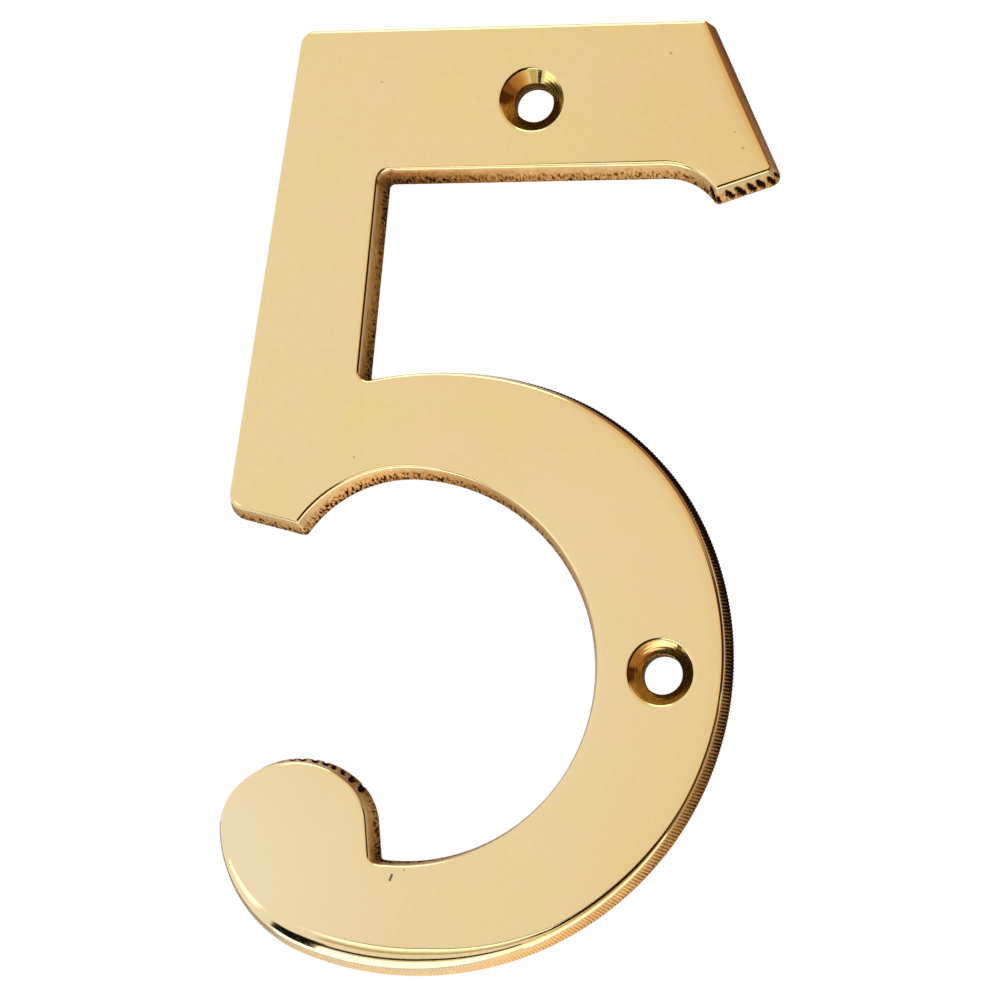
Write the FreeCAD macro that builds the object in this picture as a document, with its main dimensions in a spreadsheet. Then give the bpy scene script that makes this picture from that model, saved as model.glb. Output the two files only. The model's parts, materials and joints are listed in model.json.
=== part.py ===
import FreeCAD, Part
import math
import os
import Sketcher

# A cast door number, the figure 5, upright as it hangs on a door.
# X is to the reader's right, Z is up and the polished face looks along -Y.
# The flat back lies in the plane y = 0 and the upper screw hole's axis is the Y axis.

# Sizes in millimetres and degrees.  The outline is that of the flat back, measured from the
# upper screw hole, and around the bowl from the bowl's own centre.
SIZES = {
    # plate
    "plate_thickness": 4.0,
    "side_draft": 11.0,
    # bar and its slanted end
    "bar_top_above": 8.95,
    "bar_underside_below": 8.03,
    "bar_left_reach": 25.75,
    "bar_right_reach": 18.95,
    "bar_end_slant": 23.3,
    "serif_tip_below": 8.67,
    "serif_base_slope": 18.2,
    "serif_hollow_radius": 6.2,
    "serif_hollow_reach": 14.05,
    # stem and foot
    "stem_left_lean": 7.5,
    "stem_right_reach": 15.85,
    "stem_right_lean": 4.3,
    "foot_below": 43.9,
    "foot_slope": 14.8,
    # outer side of the bowl
    "bowl_centre_left": 11.4,
    "bowl_centre_below": 59.5,
    "bowl_radius": 33.0,
    "bowl_low_reach": 15.5,
    "shoulder_tightening": 4.2,
    "shoulder_rise": 13.25,
    "crown_easing": 7.3,
    "crown_reach": 12.55,
    # tail with its round end
    "tail_sweep_radius": 14.4,
    "tail_sweep_reach": 12.0,
    "tail_end_radius": 6.8,
    "tail_left_drop": 18.35,
    "tail_top_easing": 2.55,
    "tail_top_reach": 4.8,
    "tail_right_reach": 6.4,
    "tail_right_lean": 5.3,
    # inner side of the bowl
    "inner_centre_left": 2.0,
    "inner_centre_below": 1.1,
    "inner_radius": 20.4,
    "inner_low_tightening": 0.8,
    "inner_low_drop": 8.3,
    "inner_top_tightening": 7.0,
    "inner_top_reach": 1.65,
    # screw holes
    "lower_hole_outward": 0.05,
    "lower_hole_below": 1.75,
    "screw_hole_diameter": 4.2,
    "countersink_diameter": 7.0,
    "countersink_angle": 90.0,
    # corner and edge rounding
    "top_left_rounding": 2.4,
    "top_right_rounding": 1.2,
    "foot_left_rounding": 2.4,
    "serif_tip_rounding": 1.2,
    "sharp_corner_rounding": 0.6,
    "bar_inner_rounding": 0.5,
    "notch_rounding": 0.3,
    "countersink_rim_rounding": 0.5,
    "face_edge_rounding": 0.45,
    "tail_low_edge_rounding": 2.7,
    "tail_side_edge_rounding": 1.5,
    "tail_top_edge_rounding": 0.8,
}


def angled(distance, degrees):
    """A vector in the sketch of this length at this angle from its horizontal axis."""
    angle = math.radians(degrees)
    return FreeCAD.Vector(distance * math.cos(angle), distance * math.sin(angle), 0)


def heading(vector):
    """The angle of a vector in the sketch, in radians."""
    return math.atan2(vector.y, vector.x)


def crossing(point_a, degrees_a, point_b, degrees_b):
    """Where two straight lines cross."""
    along_a = angled(1.0, degrees_a)
    along_b = angled(1.0, degrees_b)
    across = along_a.x * along_b.y - along_a.y * along_b.x
    gap = point_b - point_a
    return point_a + along_a * ((gap.x * along_b.y - gap.y * along_b.x) / across)


def line_on_circle(point, degrees, centre, radius, ahead):
    """Where a straight line meets a circle, the later meeting if ahead is true."""
    along = angled(1.0, degrees)
    gap = point - centre
    middle = -(gap.x * along.x + gap.y * along.y)
    reach = math.sqrt(radius ** 2 - gap.Length ** 2 + middle ** 2)
    return point + along * (middle + (reach if ahead else -reach))


def at_x(centre, radius, x, above):
    """Point of a circle at this x, above its centre or below it."""
    rise = math.sqrt(radius ** 2 - (x - centre.x) ** 2)
    return FreeCAD.Vector(x, centre.y + (rise if above else -rise), 0)


def at_y(centre, radius, y, right):
    """Point of a circle at this y, right of its centre or left of it."""
    reach = math.sqrt(radius ** 2 - (y - centre.y) ** 2)
    return FreeCAD.Vector(centre.x + (reach if right else -reach), y, 0)


def next_centre(centre, radius, joint, next_radius):
    """Centre of the next arc that leaves an arc smoothly at the joint."""
    return joint + (centre - joint) * (next_radius / radius)


class Outline:
    """A closed run of lines and arcs, drawn in order and then joined."""

    def __init__(self, sketch):
        self.sketch = sketch
        self.steps = []

    def line(self, name, start, end):
        index = self.sketch.addGeometry(Part.LineSegment(start, end), False)
        self.steps.append((name, index, 1, 2))

    def arc(self, name, centre, radius, start, end, clockwise):
        first = heading(end - centre) if clockwise else heading(start - centre)
        last = heading(start - centre) if clockwise else heading(end - centre)
        circle = Part.Circle(centre, FreeCAD.Vector(0, 0, 1), radius)
        while last < first:
            last += 2 * math.pi
        index = self.sketch.addGeometry(Part.ArcOfCircle(circle, first, last), False)
        self.steps.append((name, index, 2, 1) if clockwise else (name, index, 1, 2))

    def index(self, name):
        return next(step[1] for step in self.steps if step[0] == name)

    def start(self, name):
        step = next(step for step in self.steps if step[0] == name)
        return step[1], step[2]

    def curve(self, name):
        return self.sketch.Geometry[self.index(name)]

    def join(self, smooth):
        """Join each step to the next, smoothly after the named ones."""
        for here, after in zip(self.steps, self.steps[1:] + self.steps[:1]):
            kind = "Tangent" if here[0] in smooth else "Coincident"
            self.sketch.addConstraint(Sketcher.Constraint(kind, here[1], here[3], after[1], after[2]))

    def drive(self, kind, where, value, expression):
        """Add a size that the sheet drives."""
        index = self.sketch.addConstraint(Sketcher.Constraint(kind, *where, value))
        self.sketch.setExpression("Constraints[%d]" % index, expression)


def check(doc):
    """Stop if any object failed to build."""
    for item in doc.Objects:
        if "Invalid" in item.State or "Error" in item.State:
            raise RuntimeError("%s did not build: %s" % (item.Name, item.State))


doc = FreeCAD.newDocument("door_number")
sheet = doc.addObject("Spreadsheet::Sheet", "sizes")
for row, (name, value) in enumerate(SIZES.items(), start=1):
    sheet.set("A%d" % row, name)
    sheet.set("B%d" % row, str(value))
    sheet.setAlias("B%d" % row, name)
doc.recompute()

body = doc.addObject("PartDesign::Body", "numeral")
body.Label = "numeral"
door_plane = next(item for item in body.Origin.OriginFeatures if item.Role == "XZ_Plane")

# Outline of the flat back, drawn in the door's plane.
back = body.newObject("Sketcher::SketchObject", "back_outline")
back.AttachmentSupport = [(door_plane, "")]
back.MapMode = "FlatFace"

size = SIZES
shoulder_radius = size["bowl_radius"] - size["shoulder_tightening"]
crown_radius = shoulder_radius + size["crown_easing"]
tail_top_radius = size["tail_end_radius"] + size["tail_top_easing"]
inner_low_radius = size["inner_radius"] - size["inner_low_tightening"]
inner_top_radius = size["inner_radius"] - size["inner_top_tightening"]

bowl = FreeCAD.Vector(-size["bowl_centre_left"], -size["bowl_centre_below"], 0)
shoulder_joint = at_y(bowl, size["bowl_radius"], bowl.y + size["shoulder_rise"], True)
shoulder = next_centre(bowl, size["bowl_radius"], shoulder_joint, shoulder_radius)
crown_joint = at_x(shoulder, shoulder_radius, bowl.x + size["crown_reach"], True)
crown = next_centre(shoulder, shoulder_radius, crown_joint, crown_radius)

bowl_low_joint = at_x(bowl, size["bowl_radius"], bowl.x + size["bowl_low_reach"], False)
sweep_joint = at_x(bowl, size["bowl_radius"], bowl.x - size["tail_sweep_reach"], False)
sweep = next_centre(bowl, size["bowl_radius"], sweep_joint, size["tail_sweep_radius"])
left_joint = at_y(sweep, size["tail_sweep_radius"], bowl.y - size["tail_left_drop"], False)
tail_left = next_centre(sweep, size["tail_sweep_radius"], left_joint, size["tail_end_radius"])
top_joint = at_x(tail_left, size["tail_end_radius"], tail_left.x - size["tail_top_reach"], True)
tail_top = next_centre(tail_left, size["tail_end_radius"], top_joint, tail_top_radius)
right_joint = at_x(tail_top, tail_top_radius, bowl.x - size["tail_right_reach"], True)
tail_right = next_centre(tail_top, tail_top_radius, right_joint, size["tail_end_radius"])
flat_joint = tail_right + angled(size["tail_end_radius"], size["tail_right_lean"])

inner = bowl + FreeCAD.Vector(-size["inner_centre_left"], -size["inner_centre_below"], 0)
low_joint = at_y(inner, size["inner_radius"], inner.y - size["inner_low_drop"], True)
inner_low = next_centre(inner, size["inner_radius"], low_joint, inner_low_radius)
inner_top_joint = at_x(inner, size["inner_radius"], inner.x + size["inner_top_reach"], True)
inner_top = next_centre(inner, size["inner_radius"], inner_top_joint, inner_top_radius)
tail_void = angled(size["notch_rounding"], size["tail_right_lean"])
notch = line_on_circle(flat_joint + tail_void, size["tail_right_lean"] - 90,
                       inner_low, inner_low_radius - size["notch_rounding"], True)
notch_end = inner_low + (notch - inner_low) * (inner_low_radius / (notch - inner_low).Length)

top_left = FreeCAD.Vector(-size["bar_left_reach"], size["bar_top_above"], 0)
top_right = FreeCAD.Vector(size["bar_right_reach"], size["bar_top_above"], 0)
tip_level = FreeCAD.Vector(0, -size["serif_tip_below"], 0)
tip = crossing(top_right, size["bar_end_slant"] - 90, tip_level, 0)
hollow_below = size["bar_underside_below"] + size["serif_hollow_radius"]
hollow = FreeCAD.Vector(size["serif_hollow_reach"], -hollow_below, 0)
heel = line_on_circle(tip, size["serif_base_slope"] + 180, hollow, size["serif_hollow_radius"], False)
hollow_joint = hollow + FreeCAD.Vector(0, size["serif_hollow_radius"], 0)
inner_void = angled(size["bar_inner_rounding"], -size["stem_right_lean"])
inner_below = size["bar_underside_below"] + size["bar_inner_rounding"]
bar_inner = FreeCAD.Vector(inner_void.x - size["stem_right_reach"], -inner_below, 0)
bar_inner_start = bar_inner + FreeCAD.Vector(0, size["bar_inner_rounding"], 0)
stem_right_start = bar_inner - inner_void
junction_void = angled(size["notch_rounding"], -size["stem_right_lean"])
junction = line_on_circle(stem_right_start + junction_void, -90 - size["stem_right_lean"],
                          crown, crown_radius + size["notch_rounding"], False)
junction_end = crown + (junction - crown) * (crown_radius / (junction - crown).Length)
foot_level = FreeCAD.Vector(0, -size["foot_below"], 0)
foot_left = crossing(top_left, -90 - size["stem_left_lean"], foot_level, 0)
foot_right = line_on_circle(foot_left, -size["foot_slope"], inner_top, inner_top_radius, False)

outline = Outline(back)
outline.line("bar_top", top_left, top_right)
outline.line("bar_end", top_right, tip)
outline.line("serif_base", tip, heel)
outline.arc("serif_hollow", hollow, size["serif_hollow_radius"], heel, hollow_joint, False)
outline.line("bar_underside", hollow_joint, bar_inner_start)
outline.arc("bar_inner", bar_inner, size["bar_inner_rounding"], bar_inner_start, stem_right_start, False)
outline.line("stem_right", stem_right_start, junction - junction_void)
outline.arc("junction", junction, size["notch_rounding"], junction - junction_void, junction_end, False)
outline.arc("crown", crown, crown_radius, junction_end, crown_joint, True)
outline.arc("shoulder", shoulder, shoulder_radius, crown_joint, shoulder_joint, True)
outline.arc("bowl", bowl, size["bowl_radius"], shoulder_joint, bowl_low_joint, True)
outline.arc("bowl_low", bowl, size["bowl_radius"], bowl_low_joint, sweep_joint, True)
outline.arc("tail_sweep", sweep, size["tail_sweep_radius"], sweep_joint, left_joint, True)
outline.arc("tail_left", tail_left, size["tail_end_radius"], left_joint, top_joint, True)
outline.arc("tail_top", tail_top, tail_top_radius, top_joint, right_joint, True)
outline.arc("tail_right", tail_right, size["tail_end_radius"], right_joint, flat_joint, True)
outline.line("tail_flat", flat_joint, notch - tail_void)
outline.arc("notch", notch, size["notch_rounding"], notch - tail_void, notch_end, False)
outline.arc("inner_low", inner_low, inner_low_radius, notch_end, low_joint, False)
outline.arc("inner", inner, size["inner_radius"], low_joint, inner_top_joint, False)
outline.arc("inner_top", inner_top, inner_top_radius, inner_top_joint, foot_right, False)
outline.line("foot", foot_right, foot_left)
outline.line("stem_left", foot_left, top_left)
outline.join(["serif_hollow", "bar_underside", "bar_inner", "stem_right", "junction", "crown", "shoulder",
              "bowl_low", "tail_sweep", "tail_left", "tail_top", "tail_right", "tail_flat", "notch",
              "inner_low", "inner"])

ORIGIN = (-1, 1)
CENTRE = 3
for name in ("bar_top", "bar_underside"):
    back.addConstraint(Sketcher.Constraint("Horizontal", outline.index(name)))
for name, radius, expression in (
        ("serif_hollow", size["serif_hollow_radius"], "sizes.serif_hollow_radius"),
        ("bar_inner", size["bar_inner_rounding"], "sizes.bar_inner_rounding"),
        ("junction", size["notch_rounding"], "sizes.notch_rounding"),
        ("bowl", size["bowl_radius"], "sizes.bowl_radius"),
        ("shoulder", shoulder_radius, "sizes.bowl_radius - sizes.shoulder_tightening"),
        ("crown", crown_radius, "sizes.bowl_radius - sizes.shoulder_tightening + sizes.crown_easing"),
        ("tail_sweep", size["tail_sweep_radius"], "sizes.tail_sweep_radius"),
        ("tail_left", size["tail_end_radius"], "sizes.tail_end_radius"),
        ("tail_top", tail_top_radius, "sizes.tail_end_radius + sizes.tail_top_easing"),
        ("tail_right", size["tail_end_radius"], "sizes.tail_end_radius"),
        ("notch", size["notch_rounding"], "sizes.notch_rounding"),
        ("inner_low", inner_low_radius, "sizes.inner_radius - sizes.inner_low_tightening"),
        ("inner", size["inner_radius"], "sizes.inner_radius"),
        ("inner_top", inner_top_radius, "sizes.inner_radius - sizes.inner_top_tightening")):
    outline.drive("Radius", (outline.index(name),), radius, expression)

bowl_centre = (outline.index("bowl"), CENTRE)
back.addConstraint(Sketcher.Constraint("Coincident", outline.index("bowl_low"), CENTRE, *bowl_centre))
inner_centre = (outline.index("inner"), CENTRE)
tail_left_centre = (outline.index("tail_left"), CENTRE)
hollow_centre = (outline.index("serif_hollow"), CENTRE)
for kind, first, second, alias in (
        ("DistanceY", ORIGIN, outline.start("bar_top"), "bar_top_above"),
        ("DistanceX", outline.start("bar_top"), ORIGIN, "bar_left_reach"),
        ("DistanceX", ORIGIN, outline.start("bar_end"), "bar_right_reach"),
        ("DistanceY", outline.start("serif_base"), ORIGIN, "serif_tip_below"),
        ("DistanceY", outline.start("bar_inner"), ORIGIN, "bar_underside_below"),
        ("DistanceX", ORIGIN, hollow_centre, "serif_hollow_reach"),
        ("DistanceX", outline.start("stem_right"), ORIGIN, "stem_right_reach"),
        ("DistanceY", outline.start("stem_left"), ORIGIN, "foot_below"),
        ("DistanceX", bowl_centre, ORIGIN, "bowl_centre_left"),
        ("DistanceY", bowl_centre, ORIGIN, "bowl_centre_below"),
        ("DistanceY", bowl_centre, outline.start("bowl"), "shoulder_rise"),
        ("DistanceX", bowl_centre, outline.start("shoulder"), "crown_reach"),
        ("DistanceX", bowl_centre, outline.start("bowl_low"), "bowl_low_reach"),
        ("DistanceX", outline.start("tail_sweep"), bowl_centre, "tail_sweep_reach"),
        ("DistanceY", outline.start("tail_left"), bowl_centre, "tail_left_drop"),
        ("DistanceX", outline.start("tail_top"), tail_left_centre, "tail_top_reach"),
        ("DistanceX", outline.start("tail_right"), bowl_centre, "tail_right_reach"),
        ("DistanceX", inner_centre, bowl_centre, "inner_centre_left"),
        ("DistanceY", inner_centre, bowl_centre, "inner_centre_below"),
        ("DistanceY", outline.start("inner"), inner_centre, "inner_low_drop"),
        ("DistanceX", inner_centre, outline.start("inner_top"), "inner_top_reach")):
    outline.drive(kind, (*first, *second), size[alias], "sizes." + alias)

for name, degrees, expression in (
        ("bar_end", size["bar_end_slant"] - 90, "sizes.bar_end_slant * 1 deg - 90 deg"),
        ("serif_base", size["serif_base_slope"] - 180, "sizes.serif_base_slope * 1 deg - 180 deg"),
        ("stem_right", -90 - size["stem_right_lean"], "-90 deg - sizes.stem_right_lean * 1 deg"),
        ("tail_flat", size["tail_right_lean"] - 90, "sizes.tail_right_lean * 1 deg - 90 deg"),
        ("foot", 180 - size["foot_slope"], "180 deg - sizes.foot_slope * 1 deg"),
        ("stem_left", 90 - size["stem_left_lean"], "90 deg - sizes.stem_left_lean * 1 deg")):
    outline.drive("Angle", (outline.index(name),), math.radians(degrees), expression)
doc.recompute()
check(doc)

if not back.FullyConstrained:
    raise RuntimeError("the outline is not fully sized")

# Plate in front of the outline, with sides that draw in towards the face.
plate = body.newObject("PartDesign::Pad", "plate")
plate.Profile = back
plate.setExpression("Length", "sizes.plate_thickness")
plate.setExpression("TaperAngle", "-sizes.side_draft")
doc.recompute()
check(doc)


def across_plate_at(shape, point):
    """Name of the edge that crosses the plate from this corner of the back outline."""
    corner = FreeCAD.Vector(point.x, 0, point.y)
    for number, edge in enumerate(shape.Edges, start=1):
        rear = max(edge.Vertexes, key=lambda vertex: vertex.Point.y).Point
        if edge.BoundBox.YLength > size["plate_thickness"] / 2 and (rear - corner).Length < 1e-3:
            return "Edge%d" % number
    raise RuntimeError("no edge crosses the plate at %s" % corner)


def middle_of(edge):
    return edge.valueAt((edge.FirstParameter + edge.LastParameter) / 2)


def bounds_face(edge):
    """True for an edge that lies in the polished face's plane."""
    depths = [vertex.Point.y for vertex in edge.Vertexes] + [middle_of(edge).y]
    return all(abs(depth + size["plate_thickness"]) < 1e-4 for depth in depths)


def rounded(name, base, edges, alias):
    """Round edges of a feature in the body and return the new feature."""
    feature = body.newObject("PartDesign::Fillet", name)
    feature.Base = (base, edges)
    feature.setExpression("Radius", "sizes." + alias)
    doc.recompute()
    check(doc)
    return feature


# Outer corners of the outline, softened right through the plate.
solid = plate
for name, points, alias in (
        ("top_left_corner", (top_left,), "top_left_rounding"),
        ("top_right_corner", (top_right,), "top_right_rounding"),
        ("foot_left_corner", (foot_left,), "foot_left_rounding"),
        ("serif_tip_corner", (tip,), "serif_tip_rounding"),
        ("sharp_corners", (heel, foot_right), "sharp_corner_rounding")):
    solid = rounded(name, solid, [across_plate_at(solid.Shape, point) for point in points], alias)

# Countersunk screw holes, drilled from the face.
centres = body.newObject("Sketcher::SketchObject", "hole_centres")
centres.AttachmentSupport = [(door_plane, "")]
centres.MapMode = "FlatFace"
centres.setExpression("AttachmentOffset.Base.z", "sizes.plate_thickness")
side_middle = (size["bowl_radius"] + size["inner_radius"] - size["inner_centre_left"]) / 2
lower_hole = bowl + FreeCAD.Vector(side_middle + size["lower_hole_outward"], -size["lower_hole_below"], 0)
facing = FreeCAD.Vector(0, 0, 1)
upper = centres.addGeometry(Part.Circle(FreeCAD.Vector(), facing, size["screw_hole_diameter"] / 2), False)
lower = centres.addGeometry(Part.Circle(lower_hole, facing, size["screw_hole_diameter"] / 2), False)
centres.addConstraint(Sketcher.Constraint("Coincident", upper, CENTRE, *ORIGIN))
centres.addConstraint(Sketcher.Constraint("Equal", upper, lower))
for kind, where, value, expression in (
        ("Diameter", (upper,), size["screw_hole_diameter"], "sizes.screw_hole_diameter"),
        ("DistanceX", (*ORIGIN, lower, CENTRE), lower_hole.x,
         "(sizes.bowl_radius + sizes.inner_radius - sizes.inner_centre_left) / 2"
         " + sizes.lower_hole_outward - sizes.bowl_centre_left"),
        ("DistanceY", (lower, CENTRE, *ORIGIN), -lower_hole.y,
         "sizes.bowl_centre_below + sizes.lower_hole_below")):
    index = centres.addConstraint(Sketcher.Constraint(kind, *where, value))
    centres.setExpression("Constraints[%d]" % index, expression)
doc.recompute()
holes = body.newObject("PartDesign::Hole", "screw_holes")
holes.Profile = centres
doc.recompute()
holes.ThreadType = "None"
holes.DepthType = "ThroughAll"
holes.HoleCutType = "Countersink"
holes.HoleCutCustomValues = True
holes.setExpression("Diameter", "sizes.screw_hole_diameter")
holes.setExpression("HoleCutDiameter", "sizes.countersink_diameter")
holes.setExpression("HoleCutCountersinkAngle", "sizes.countersink_angle")
doc.recompute()
check(doc)
if holes.Shape.Volume >= solid.Shape.Volume:
    raise RuntimeError("the screw holes were not cut")
rims = ["Edge%d" % number for number, edge in enumerate(holes.Shape.Edges, start=1)
        if bounds_face(edge) and edge.Closed]
solid = rounded("countersink_rims", holes, rims, "countersink_rim_rounding")
body.Tip = solid
body.Label = "numeral_body"
doc.recompute()

# Edge of the polished face, rolled off by the buffing wheel: finely all round,
# and widely under the bowl's lower left and around the tail.
ROLL = {
    "bowl_low": ("face_edge_rounding", "tail_low_edge_rounding"),
    "tail_sweep": ("tail_low_edge_rounding", "tail_side_edge_rounding"),
    "tail_left": ("tail_side_edge_rounding", "tail_top_edge_rounding"),
    "tail_top": ("tail_top_edge_rounding", "face_edge_rounding"),
}
draw_in = size["plate_thickness"] * math.tan(math.radians(size["side_draft"]))


def on_face(arc, parameter):
    """Point of the face's edge that lies over this point of an outer arc of the back outline."""
    outward = arc.value(parameter) - arc.Center
    point = arc.Center + outward * (1 - draw_in / arc.Radius)
    return FreeCAD.Vector(point.x, -size["plate_thickness"], point.y)


def roll_of(edge):
    """Edge radius at the edge's two ends."""
    for name, (start_size, end_size) in ROLL.items():
        arc = outline.curve(name)
        if (middle_of(edge) - on_face(arc, (arc.FirstParameter + arc.LastParameter) / 2)).Length < 0.01:
            # The outer arcs run clockwise along the outline, so each starts at its last parameter.
            # The fillet takes the radius at an edge's second vertex first.
            starts_here = (edge.Vertexes[0].Point - on_face(arc, arc.LastParameter)).Length < 0.01
            sizes = (end_size, start_size) if starts_here else (start_size, end_size)
            return sheet.get(sizes[0]), sheet.get(sizes[1])
    return sheet.get("face_edge_rounding"), sheet.get("face_edge_rounding")


numeral = doc.addObject("Part::Fillet", "rolled_edge")
numeral.Label = "numeral"
numeral.Base = body
numeral.Edges = [(number, *roll_of(edge)) for number, edge in enumerate(body.Shape.Edges, start=1)
                 if bounds_face(edge) and not edge.Closed]
doc.recompute()
check(doc)

numeral.Placement = FreeCAD.Placement()
if numeral.Shape.isNull() or not numeral.Shape.isValid() or len(numeral.Shape.Solids) != 1:
    raise RuntimeError("the numeral is not one sound solid")
os.makedirs("parts", exist_ok=True)
numeral.Shape.exportStep("parts/%s.step" % numeral.Label)
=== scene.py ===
import json
import math
from contextlib import contextmanager

import bpy
import numpy as np
from mathutils import Matrix, Vector


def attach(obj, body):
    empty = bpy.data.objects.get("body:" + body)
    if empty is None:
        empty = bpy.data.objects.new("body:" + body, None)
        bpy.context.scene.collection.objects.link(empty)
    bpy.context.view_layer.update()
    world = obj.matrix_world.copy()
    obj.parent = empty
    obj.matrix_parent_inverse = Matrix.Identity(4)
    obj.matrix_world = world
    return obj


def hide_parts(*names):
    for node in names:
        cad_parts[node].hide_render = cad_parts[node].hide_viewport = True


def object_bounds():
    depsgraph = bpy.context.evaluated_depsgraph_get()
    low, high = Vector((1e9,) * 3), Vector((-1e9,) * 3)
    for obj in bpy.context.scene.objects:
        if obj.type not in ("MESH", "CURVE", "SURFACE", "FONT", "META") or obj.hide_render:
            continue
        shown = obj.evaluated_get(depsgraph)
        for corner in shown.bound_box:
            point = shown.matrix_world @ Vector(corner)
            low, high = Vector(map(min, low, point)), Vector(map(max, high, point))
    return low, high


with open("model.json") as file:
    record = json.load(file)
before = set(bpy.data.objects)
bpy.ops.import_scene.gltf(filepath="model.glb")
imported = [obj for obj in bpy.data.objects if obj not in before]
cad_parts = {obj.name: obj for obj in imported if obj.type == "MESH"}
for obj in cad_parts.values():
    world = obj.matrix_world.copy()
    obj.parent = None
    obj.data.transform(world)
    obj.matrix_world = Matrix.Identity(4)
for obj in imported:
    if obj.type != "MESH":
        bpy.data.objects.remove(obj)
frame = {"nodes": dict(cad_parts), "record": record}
CAD_BOX = [list(corner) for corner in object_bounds()]
CAD_NODE = frame["nodes"]["numeral"]
MOUNTS = {mount["name"]: mount for mount in frame["record"]["mounts"]}

bl_info = {
    "name": "Brass door number",
    "version": (1, 0, 0),
    "blender": (4, 5, 0),
    "location": "View3D > Sidebar > Door number",
    "description": "Dresses the cast figure five with its buffed face, ground sides and turned screw seats",
    "category": "Object",
}

# Lengths in this file are in millimetres unless a name says otherwise.
MM = 0.001

# Points nearer than this are one point, in the solid's mesh and in a sheet laid here, in metres.
SAME_POINT = 1e-6
SAME_SEAM = 1e-7
# Keeps a division from zero.
TINY = 1e-6

# What the buffed edge and the side are like where the outline passes a place (x, z) on the back:
# radius of the roll, slope of the face towards it in degrees, share of tool pits, of dark flecks and
# of file marks, and how brown the side is, below zero where it is pale.
EDGE_STATIONS = {
    "top left corner": ((-25.2, 8.4), 0.45, 0.5, 0.0, 0.2, 0.0, 0.4),
    "top of the bar": ((-2.8, 8.95), 0.5, 1.2, 0.0, 0.2, 0.0, 0.4),
    "top right corner": ((18.8, 8.8), 0.45, 0.8, 0.0, 0.2, 0.0, 0.4),
    "bar end high": ((21.0, 4.1), 0.8, 3.0, 0.0, 0.2, 0.0, 0.5),
    "bar end": ((22.6, 0.4), 0.9, 3.5, 0.0, 0.2, 0.0, 0.45),
    "bar end low": ((25.4, -6.0), 0.5, 3.0, 0.0, 0.2, 0.0, 0.15),
    "serif tip": ((26.0, -8.4), 0.3, 1.0, 0.7, 0.4, 0.0, 0.2),
    "serif base": ((22.6, -10.0), 0.3, 0.5, 1.0, 0.5, 0.0, 0.15),
    "serif heel": ((19.4, -10.9), 0.34, 0.5, 0.8, 0.7, 0.0, 0.15),
    "serif hollow": ((16.9, -8.7), 0.55, 1.0, 0.0, 0.7, 0.0, 0.3),
    "under the bar": ((-0.7, -8.03), 0.4, 1.0, 0.0, 0.5, 0.0, 0.4),
    "bar inner corner": ((-15.7, -8.2), 0.32, 1.0, 0.0, 0.3, 0.0, 0.85),
    "stem right": ((-16.6, -18.8), 0.34, 1.2, 0.0, 0.3, 0.0, 0.55),
    "stem junction": ((-17.3, -29.3), 0.34, 0.5, 0.0, 0.35, 0.0, 0.8),
    "crown": ((-7.9, -28.7), 0.5, 0.5, 0.0, 0.0, 0.3, 0.4),
    "shoulder": ((11.7, -36.4), 0.7, 3.5, 0.0, 0.0, 1.0, 1.3),
    "bowl right": ((20.8, -56.0), 0.4, 2.5, 0.0, 0.0, 1.0, 0.95),
    "bowl low right": ((17.5, -75.0), 0.3, 1.0, 0.0, 0.0, 1.0, 0.5),
    "right of the bowl's bottom": ((4.1, -88.6), 0.8, 0.5, 0.0, 0.0, 1.0, 0.12),
    "bowl bottom": ((-9.5, -92.4), 2.4, 0.5, 0.0, 0.0, 1.0, -0.25),
    "under the tail": ((-23.4, -90.2), 2.7, 0.5, 0.0, 0.0, 1.0, -0.25),
    "left of the tail": ((-32.5, -77.9), 1.5, 0.5, 0.0, 0.0, 0.6, -0.2),
    "top of the tail": ((-30.5, -72.5), 0.8, 0.5, 0.2, 0.2, 0.0, 0.2),
    "tail upper right": ((-22.0, -70.1), 0.3, 1.5, 1.0, 0.3, 0.0, 0.2),
    "tail shoulder": ((-17.8, -72.1), 0.26, 2.5, 0.8, 0.4, 0.0, 0.35),
    "tail right": ((-15.5, -76.6), 0.28, 1.5, 0.0, 0.5, 0.0, 0.55),
    "tail notch": ((-15.1, -80.2), 0.28, 0.5, 0.0, 0.4, 0.0, 0.85),
    "inner low": ((-3.0, -78.0), 0.35, 0.5, 0.0, 0.2, 0.0, 0.4),
    "inner right": ((7.0, -59.0), 0.45, 0.5, 0.0, 0.2, 0.0, 0.3),
    "inner top": ((-2.0, -42.8), 0.3, 0.5, 0.0, 0.6, 0.0, 0.5),
    "inner left": ((-18.5, -41.5), 0.34, 0.5, 0.0, 1.0, 0.0, 0.4),
    "foot right": ((-24.0, -46.1), 0.34, 0.5, 0.0, 0.9, 0.0, 0.25),
    "foot": ((-27.6, -45.3), 0.6, 0.5, 0.0, 0.9, 0.0, 0.35),
    "foot left": ((-32.1, -43.5), 0.9, 0.5, 0.0, 0.7, 0.0, 0.35),
    "stem left": ((-29.2, -17.5), 0.4, 0.5, 0.0, 0.1, 0.0, 0.3),
}

# Small pits and a scratch of the face: x, z, reach and how dark. The core is the share of the reach
# that is evenly dark.
MARK_CORE = 0.3
FACE_MARKS = (
    (14.77, 4.7, 0.24, 0.4), (21.62, -4.06, 0.2, 0.3), (22.47, -5.81, 0.22, 0.35), (-16.29, 2.32, 0.2, 0.3),
    (-18.38, -38.38, 0.22, 0.35), (-12.1, -81.72, 0.18, 0.4),
    (-13.38, -82.25, 0.2, 0.9), (-13.46, -82.5, 0.22, 0.9), (-13.56, -82.75, 0.2, 0.9),
)

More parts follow.
